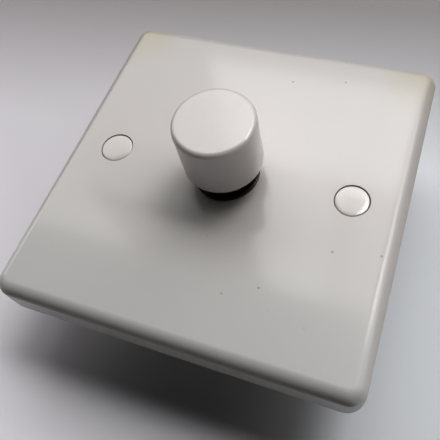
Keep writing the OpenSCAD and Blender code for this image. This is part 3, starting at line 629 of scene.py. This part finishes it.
def wall_ring(height, inset):
    """Half width and corner radius of the drafted wall at a height, moved inwards by an inset."""
    flare = (SHOULDER - min(height, SHOULDER)) * DRAFT
    return PLATE_HALF - SHOULDER * DRAFT + flare - inset, max(CORNER + flare - inset, 0.05), height


def plate_shell(bm):
    """The moulding as one skin: along the ceiling, down the inside, round the rim and over the edge."""
    ceiling = PLATE_TOP - FACE
    inner_edge = EDGE - SKIRT
    inner_steps = 5
    outer_steps = 12
    rings = []
    for step in range(inner_steps + 1):
        angle = math.pi / 2 * step / inner_steps
        height = ceiling - inner_edge * (1 - math.cos(angle))
        rings.append(wall_ring(height, SKIRT + inner_edge * (1 - math.sin(angle))))
    for height, inset in ((0.3, SKIRT), (0.0, SKIRT - 0.3), (0.0, 0.35), (0.1, 0.1), (0.35, 0.0)):
        rings.append(wall_ring(height, inset))
    for step in range(outer_steps + 1):
        angle = math.pi / 2 * step / outer_steps
        rings.append(wall_ring(SHOULDER + EDGE * math.sin(angle), EDGE * (1 - math.cos(angle))))
    skin(bm, [square_ring(bm, *ring) for ring in rings], "capped")


def plate_bosses(bm):
    """Bosses for the two fixing screws and pegs for the heat sink, all rooted in the front face."""
    boss_r = 4.5
    peg_r = 1.5
    root = PLATE_TOP - 2
    peg_end = high("heat_sink_plate").z - 1.5
    peg_y = high("heat_sink_plate").y - 3
    for side in (-1, 1):
        boss = Matrix.Translation((side * FIXING_X, 0, 0))
        lathe(bm, [(0, 0), (boss_r, 0), (boss_r, root), (0, root)], 64, boss)
        peg = Matrix.Translation((0, side * peg_y, 0))
        lathe(bm, [(0, peg_end), (peg_r, peg_end), (peg_r, root), (0, root)], 32, peg)


def plate_holes(bm):
    """Stepped holes for the fixing screws, the bush hole and the notches in the lower rim."""
    above = PLATE_TOP + 1
    shank_r = 2
    head_r = 3.65
    cap_seat = PLATE_TOP - 1.4
    cap_hole_r = CAP_R + 0.15
    bush_hole_r = 5.15
    notch_half = 1.8
    notch_top = 0.7
    for side in (-1, 1):
        lathe(bm, [
            (0, -1), (shank_r, -1), (shank_r, HEAD_SEAT), (head_r, HEAD_SEAT), (head_r, cap_seat),
            (cap_hole_r, cap_seat), (cap_hole_r, above), (0, above),
        ], 72, Matrix.Translation((side * FIXING_X, 0, 0)))
        notch_low = (side * FIXING_X - notch_half, -PLATE_HALF - 1, -1)
        notch_high = (side * FIXING_X + notch_half, -PLATE_HALF + SKIRT + 1, notch_top)
        block(bm, notch_low, notch_high)
    lathe(bm, [(0, 5), (bush_hole_r, 5), (bush_hole_r, above), (0, above)], 72)


def front_plate():
    """The moulded plate: its shell with bosses and pegs added and holes cut."""
    bm = bmesh.new()
    plate_shell(bm)
    piece = as_object("front_plate_piece", bm)
    combine(piece, plate_bosses, "UNION")
    combine(piece, plate_holes)
    mount(piece, "front_plate", 0.14)


def screw_cap(node):
    """A snap-in cap: a slightly domed disc with a soft rim, and a split ring of legs behind it."""
    top = high(node).z
    seat = top - 1.35
    leg_r = 3.55
    place = Matrix.Translation((middle(node).x, 0, 0))
    bm = bmesh.new()
    lathe(bm, rounded([
        (0, seat - 0.1), (leg_r - 0.8, seat - 0.1), (leg_r - 0.8, low(node).z), (leg_r, low(node).z, 0.2),
        (leg_r, seat), (CAP_R, seat, 0.1), (CAP_R, top - 0.1, 0.32), (CAP_R * 0.6, top - 0.02), (0, top),
    ]), 96, place)
    piece = as_object(f"{node}_piece", bm)
    slit_low = (-1.2, -4.5, low(node).z - 1)
    slit_high = (1.2, 4.5, seat - 0.15)
    combine(piece, lambda cut: block(cut, slit_low, slit_high, place))
    mount(piece, node)


# ---------- Knob, nut and bush ----------


def control_knob():
    """The knob: a drafted cup with a soft top edge, a hub with a flatted bore and four thin ribs."""
    bottom = low("control_knob").z
    top = high("control_knob").z
    base_r = high("control_knob").x
    top_r = base_r - 0.15
    inner_r = base_r - 1.5
    hub_r = 5.0
    hub_bottom = bottom + 1.2
    under = top - 2.0
    bm = bmesh.new()
    lathe(bm, rounded([
        (0, under), (inner_r - 0.2, under, 0.5), (inner_r, bottom, 0.25), (base_r, bottom, 0.35),
        (top_r, top, 1.1), (0, top),
    ], 8), 144)
    piece = as_object("control_knob_piece", bm)
    combine(piece, lambda add: lathe(add, rounded([
        (0, hub_bottom), (hub_r, hub_bottom, 0.25), (hub_r, top - 1), (0, top - 1),
    ]), 96), "UNION")
    rib_low = (hub_r - 0.4, -0.45, bottom + 5.5)
    rib_high = (inner_r + 0.4, 0.45, top - 1.2)
    for turn in range(4):
        rib = Matrix.Rotation(math.radians(45 + 90 * turn), 4, "Z")
        combine(piece, lambda add: block(add, rib_low, rib_high, rib), "UNION")
    flat = high("knob_spring_clip").x + 0.05
    bore_r = high("spindle").y + 0.05

    def bore(cut):
        """Round bore with one flat, from below the hub to just past the spindle's front end."""
        start = math.acos(flat / bore_r)
        steps = 48
        turns = [start + (2 * math.pi - 2 * start) * i / steps for i in range(steps + 1)]
        prism(cut, [polar(bore_r, turn, 0) for turn in turns], hub_bottom - 1, high("spindle").z + 0.3)

    combine(piece, bore)
    mount(piece, "control_knob", 0.1)


def ring_nut():
    """A round nut with a fluted rim, a chamfer and a plain bore."""
    bottom = low("ring_nut").z
    top = high("ring_nut").z
    outer = high("ring_nut").x
    bore = 4.95
    flutes = 28
    count = flutes * 8

    def fluted(bm, inset, height, depth):
        """A ring of vertices round the rim, dented by its flutes."""
        ring = []
        for i in range(count):
            angle = 2 * math.pi * i / count
            wave = max(0.0, math.cos(flutes * angle)) ** 0.6
            ring.append(bm.verts.new(polar(outer - inset - depth * wave, angle, height)))
        return ring

    bm = bmesh.new()
    levels = [
        (0.25, bottom, 0.15), (0, bottom + 0.2, 0.25), (0, top - 0.45, 0.25), (0.12, top - 0.25, 0.2),
        (0.5, top - 0.03, 0.05), (0.7, top, 0.0),
    ]
    inside = [
        (bore + 0.35, top), (bore + 0.05, top - 0.3), (bore + 0.05, bottom + 0.2), (bore + 0.3, bottom),
    ]
    rings = [fluted(bm, *level) for level in levels]
    rings += [circle(bm, radius, height, count) for radius, height in inside]
    skin(bm, rings, "joined")
    mount(as_object("ring_nut_piece", bm), "ring_nut")


def nut_washer():
    """A flat washer with rolled edges and a shallow step round its bore."""
    bottom = low("nut_washer").z
    top = high("nut_washer").z
    outer = high("nut_washer").x
    inner = 5.1
    profile = rounded([
        (inner, top - 0.25), (inner, bottom, 0.12), (outer, bottom, 0.12), (outer, top, 0.22),
        (outer - 1.0, top, 0.1), (outer - 1.15, top - 0.1, 0.1), (inner + 0.15, top - 0.1),
    ], 4)
    make("nut_washer", lambda bm: lathe(bm, profile, 128))


def threaded_rings(bm, radius, depth, pitch, start, end, segments):
    """Rings of a cut thread from one height to another, for joining to the shapes at its ends."""
    rings = []
    rows = int((end - start) / pitch * 8)
    for row in range(rows + 1):
        height = start + (end - start) * row / rows
        fade = max(min(1.0, (end - height) / pitch, (height - start) / pitch), 0)
        ring = []
        for i in range(segments):
            turn = i / segments
            phase = ((height - start) / pitch - turn) % 1.0
            groove = abs(phase * 2 - 1)
            ring.append(bm.verts.new(polar(radius - depth * groove * fade, 2 * math.pi * turn, height)))
        rings.append(ring)
    return rings


def potentiometer_bush():
    """Flange, locating pip and threaded barrel with a plain bore."""
    bottom = low("potentiometer_bush").z
    top = high("potentiometer_bush").z
    flange_r = high("potentiometer_bush").y
    flange_top = low("heat_sink_plate").z
    barrel = 4.9
    bore = 3.05
    pip_r = 1.2
    pip_top = flange_top + 1.3
    sides = 64

    def build(bm):
        """The bush as one closed skin, with the pip standing in its flange."""
        rings = [circle(bm, radius, height, sides) for radius, height in (
            (bore, top - 0.3), (bore, bottom + 0.1), (bore + 0.1, bottom), (flange_r - 0.2, bottom),
            (flange_r, bottom + 0.2), (flange_r, flange_top - 0.2), (flange_r - 0.2, flange_top),
            (barrel, flange_top),
        )]
        rings += threaded_rings(bm, barrel, 0.42, 0.75, flange_top + 1.2, top - 0.3, sides)
        rings += [circle(bm, radius, top, sides) for radius in (barrel - 0.35, bore + 0.3)]
        skin(bm, rings, "joined")
        pip = rounded([(0, bottom + 0.5), (pip_r, bottom + 0.5), (pip_r, pip_top, 0.2), (0, pip_top)])
        lathe(bm, pip, 32, Matrix.Translation((8.2, 0, 0)))

    make("potentiometer_bush", build)


# ---------- Module, screws and terminals ----------


def module_housing():
    """The moulded back box, with its outer edges rounded off."""
    piece = copy_of("module_housing")
    lowest, highest = low("module_housing"), high("module_housing")

    def rounded_back(bm):
        """A box with round upright and back edges that keeps everything in front of the housing's back."""
        block(bm, lowest, highest + Vector((0, 0, 6)))
        upright = [e for e in bm.edges if abs(e.verts[0].co.z - e.verts[1].co.z) > 1]
        bmesh.ops.bevel(bm, geom=upright, offset=2.5, segments=8, profile=0.5, affect="EDGES")
        back = [e for e in bm.edges if all(abs(v.co.z - lowest.z) < 1e-4 for v in e.verts)]
        bmesh.ops.bevel(bm, geom=back, offset=0.8, segments=4, profile=0.5, affect="EDGES")

    combine(piece, rounded_back, "INTERSECT")
    mount(piece, "module_housing", 0.12)


def slotted_head(bm, centre, head_r, head_z, shank_r, tip_z):
    """Pan head facing the back with its shank running forward to its tip."""
    neck_z = head_z + 1.6
    lathe(bm, rounded([
        (0, head_z), (head_r * 0.55, head_z), (head_r, head_z + 0.55, 0.35), (head_r, neck_z, 0.15),
        (shank_r, neck_z), (shank_r, tip_z - 0.5, 0.2), (shank_r * 0.55, tip_z), (0, tip_z),
    ], 4), 64, Matrix.Translation((centre[0], centre[1], 0)))


def slot_cutter(bm, centre, head_r, head_z, depth=0.72, width=0.7):
    """Straight screwdriver slot across a head."""
    lowest = (centre[0] - head_r - 1, centre[1] - width / 2, head_z - 1)
    highest = (centre[0] + head_r + 1, centre[1] + width / 2, head_z + depth)
    block(bm, lowest, highest)


def module_screws():
    """Two pan-head screws that hold the housing to the heat sink."""
    lowest, highest = low("module_screws"), high("module_screws")
    head_r = 2.6
    centres = [(lowest.x + head_r, highest.y - head_r), (highest.x - head_r, lowest.y + head_r)]
    bm = bmesh.new()
    for centre in centres:
        slotted_head(bm, centre, head_r, lowest.z, 1.45, highest.z)
    piece = as_object("module_screws_piece", bm)
    combine(piece, lambda cut: [slot_cutter(cut, centre, head_r, lowest.z) for centre in centres])
    mount(piece, "module_screws", 0.06)


def terminal_screw(node):
    """Headless clamping screw with a thread, a slot at its back end and a dog point."""
    lowest, highest = low(node), high(node)
    centre = middle(node)
    radius = (highest.x - lowest.x) / 2
    sides = 48
    tiny = 0.02
    back = ((tiny, lowest.z), (radius - 0.25, lowest.z), (radius, lowest.z + 0.25))
    point = ((radius * 0.75, highest.z - 0.7), (radius * 0.7, highest.z), (tiny, highest.z))
    bm = bmesh.new()
    rings = [circle(bm, size, height, sides) for size, height in back]
    rings += threaded_rings(bm, radius, 0.25, 0.6, lowest.z + 0.35, highest.z - 1.0, sides)
    rings += [circle(bm, size, height, sides) for size, height in point]
    skin(bm, rings, "capped")
    bmesh.ops.translate(bm, vec=(centre.x, centre.y, 0), verts=bm.verts)
    piece = as_object(f"{node}_piece", bm)
    combine(piece, lambda cut: slot_cutter(cut, centre, radius, lowest.z, 0.9))
    mount(piece, node, 0.04)


# ---------- Electrical parts ----------


def choke_winding():
    """One length of wire wound round the ring core, with soft bends at the core's corners."""
    centre = middle("choke_winding")
    core_out = (high("choke_core").x - low("choke_core").x) / 2
    core_in = 4.0
    wire = 0.45
    turns = 18
    half_across = (core_out - core_in) / 2 + wire + 0.05
    half_along = (high("choke_core").y - low("choke_core").y) / 2 + wire + 0.05
    ring_r = (core_out + core_in) / 2
    steps = turns * 28

    def point(step):
        """A place along the wire, whose loops are nearly rectangular."""
        share = step / steps
        around = math.radians(15 + 330 * share)
        loop = 2 * math.pi * turns * share
        across, along = (
            math.copysign(abs(wave(loop)) ** 0.22, wave(loop)) for wave in (math.cos, math.sin)
        )
        radius = ring_r + half_across * across
        return centre + Vector((
            radius * math.cos(around), half_along * along, -radius * math.sin(around),
        ))

    make("choke_winding", lambda bm: tube(bm, [point(step) for step in range(steps + 1)], wire))


def plunger_spring():
    """Helical return spring whose end turns lie close."""
    lowest, highest = low("plunger_spring"), high("plunger_spring")
    wire = 0.25
    radius = highest.x - wire
    turns = 5.5
    steps = int(turns * 24)

    def point(step):
        """A place along the wire, which rises more slowly near its ends."""
        share = step / steps
        rise = share - 0.075 * math.sin(2 * math.pi * share)
        height = lowest.z + wire + (highest.z - lowest.z - 2 * wire) * rise
        return polar(radius, 2 * math.pi * turns * share, height)

    piece = make("plunger_spring", lambda bm: tube(bm, [point(step) for step in range(steps + 1)], wire))
    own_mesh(piece)


def axial_bodies(node, places, radius):
    """Coated axial bodies with rounded ends and a slimmer middle."""
    start = low(node).x
    length = high(node).x - start
    height = middle(node).z
    waist = radius * 0.84
    profile = rounded([
        (0, 0), (radius, 0, 0.4), (radius, length * 0.26, 0.5), (waist, length * 0.32, 0.5),
        (waist, length * 0.68, 0.5), (radius, length * 0.74, 0.5), (radius, length, 0.4), (0, length),
    ])

    def build(bm):
        for y in places:
            lathe(bm, profile, 40, along_axis((1, 0, 0), (start, y, height)))

    make(node, build)


# ---------- Everything else keeps its CAD shape, with edges as they are moulded, stamped or cut ----------

EDGE_WIDTHS = {
    "knob_spring_clip": 0.08, "spindle": 0.12, "spindle_circlip": 0.1, "potentiometer_case": 0.15,
    "resistance_track": 0.08, "potentiometer_tags": 0.06, "wiper_rotor": 0.12, "wiper_contact": 0.04,
    "switch_case": 0.2, "switch_plunger": 0.15, "latch_rotor": 0.12, "contact_bridge": 0.08,
    "fixed_contacts": 0.08, "heat_sink_plate": 0.18, "insulating_sheet": 0.05, "circuit_board": 0.06,
    "triac_body": 0.2, "triac_metalwork": 0.06, "triac_screw": 0.1, "choke_core": 0.5,
    "suppression_capacitor": 0.45, "timing_capacitors": 0.4, "diac": 0.25, "lead_wires": 0.04,
    "fuse_glass": 0.15, "fuse_wire": 0.04, "fuse_end_caps": 0.15, "fuse_clips": 0.07,
    "terminal_block": 0.25, "terminal_pillars": 0.15, "trimmer_base": 0.25, "trimmer_rotor": 0.1,
}


# ---------- Surroundings ----------


def pale_table():
    """Pale table under the module's back: bluer to the right, with painted light at the near left and
    painted shade far away.
    """
    level = cad_bounds[0].z
    bm = bmesh.new()
    bmesh.ops.create_grid(bm, x_segments=8, y_segments=8, size=1500)
    bmesh.ops.translate(bm, vec=(0, 0, level / MM), verts=bm.verts)
    table = as_object("table_top", bm)
    paint = Finish("table_top", Roughness=0.6)
    x, y = paint.coordinates()[:2]
    # Painted shade: the table darkens away from the camera, beyond the plate's far edge.
    painted_far_shade = paint.range(paint.math("ADD", y, paint.product(x, -0.08)), 0.03, 0.1)
    cloudy = paint.product(paint.noise(14, 2), 0.4)
    bluer = paint.math("ADD", cloudy, paint.range(x, -0.07, 0.05, -0.1, 0.7))
    # Painted light: the table is paler towards the near left.
    painted_near_light = paint.range(paint.math("ADD", y, x), -0.16, -0.08, 1.0, 0.0)
    middling = paint.mix(bluer, (0.81, 0.78, 0.815, 1), (0.785, 0.81, 0.835, 1))
    with_painted_near_light = paint.mix(painted_near_light, middling, (0.94, 0.92, 0.95, 1))
    paint.use("Base Color", paint.mix(painted_far_shade, with_painted_near_light, (0.425, 0.405, 0.41, 1)))
    table.data.materials.append(paint.material)


def camera_at(target, azimuth, elevation, roll, distance, lens, shift):
    """Camera that looks at a target, in metres and degrees; azimuth 0 looks along +Y."""
    turn, tilt, lean = (math.radians(angle) for angle in (azimuth, elevation, roll))
    back = Vector((math.sin(turn) * math.cos(tilt), -math.cos(turn) * math.cos(tilt), math.sin(tilt)))
    level = (-back).cross(Vector((0, 0, 1))).normalized()
    above = level.cross(-back)
    right = level * math.cos(lean) + above * math.sin(lean)
    up = above * math.cos(lean) - level * math.sin(lean)
    data = bpy.data.cameras.new("camera")
    data.lens = lens
    data.sensor_width = 36
    data.shift_x = shift
    data.clip_start = 0.005
    data.clip_end = 10
    camera = bpy.data.objects.new("camera", data)
    axes = Matrix((right, up, back)).transposed().to_4x4()
    camera.matrix_world = Matrix.Translation(Vector(target) + back * distance) @ axes
    bpy.context.scene.collection.objects.link(camera)
    bpy.context.scene.camera = camera


def window_pane(name, left, right, bottom, top, brightness):
    """Upright soft light beyond the plate's top edge, one part of a large window square to the Y axis.

    The part sees the pane's sides at the azimuths left and right, and its sill and head at the elevations
    bottom and top. Its brightness is the same whatever its size.
    """
    distance = 1.2
    angles = (left, right, bottom, top)
    west, east, sill, head = (distance * math.tan(math.radians(angle)) for angle in angles)
    data = bpy.data.lights.new(name, "AREA")
    data.shape = "RECTANGLE"
    data.size, data.size_y = east - west, head - sill
    data.energy = brightness * math.pi * data.size * data.size_y
    light = bpy.data.objects.new(name, data)
    centre = Vector(((west + east) / 2, distance, (sill + head) / 2))
    light.matrix_world = Matrix.Translation(centre) @ Matrix.Rotation(math.radians(-90), 4, "X")
    bpy.context.scene.collection.objects.link(light)


PANES = (
    # name, azimuths of its sides, elevations of its sill and head, brightness
    ("lowest_pane", -10, 33, 14, 34, 0.8),
    ("low_pane", -31, 33, 34, 46.5, 1.3),
    ("low_left_pane", -58, -31, 34, 46.5, 1.25),
    ("middle_pane", -31, 12, 46.5, 58, 4.1),
    ("middle_right_pane", 12, 40, 46.5, 58, 4.6),
    ("upper_left_pane", -31, -10, 58, 72.5, 2.9),
    ("upper_middle_pane", -10, 12, 58, 72.5, 1.8),
    ("right_pane", 12, 50, 58, 64, 7.0),
    ("bright_pane", 12, 56, 64, 71, 9.8),
    ("head_pane", 12, 56, 71, 75, 7.0),
    ("far_right_pane", 56, 76, 60, 72.5, 4.5),
    ("far_left_pane", -58, -31, 46.5, 66, 1.65),
    ("left_wall", -76, -58, 46.5, 72.5, 1.85),
    ("left_end", -84, -76, 40, 76, 1.7),
    ("right_end", 76, 84, 40, 76, 1.0),
)


def surroundings(colour, strength):
    """Faint even light from everywhere."""
    world = bpy.data.worlds.new("studio")
    world.use_nodes = True
    background = world.node_tree.nodes["Background"]
    background.inputs["Color"].default_value = (*colour, 1)
    background.inputs["Strength"].default_value = strength
    bpy.context.scene.world = world


def picture_tones(exposure, gamma):
    """Brightness and contrast of the finished picture."""
    settings = bpy.context.scene.view_settings
    settings.view_transform = "Standard"
    settings.exposure = exposure
    settings.gamma = gamma


# ---------- The scene ----------

camera_at(target=(0.00994, -0.01064, 0.010), azimuth=30.14, elevation=61.50, roll=-13.10, distance=0.11125,
          lens=40.33, shift=-0.0738)
pale_table()
for name, left, right, bottom, top, brightness in PANES:
    window_pane(name, left, right, bottom, top, brightness)
surroundings((1.0, 0.86, 0.72), 0.01)
picture_tones(exposure=0.2, gamma=0.69)

front_plate()
screw_cap("left_screw_cap")
screw_cap("right_screw_cap")
control_knob()
ring_nut()
nut_washer()
potentiometer_bush()
module_housing()
module_screws()
for place in ("left", "middle", "right"):
    terminal_screw(f"{place}_terminal_screw")
choke_winding()
plunger_spring()
axial_bodies("resistors", (-6.6, -9.4, -12.2), 1.15)
for node, width in EDGE_WIDTHS.items():
    refine(node, width)
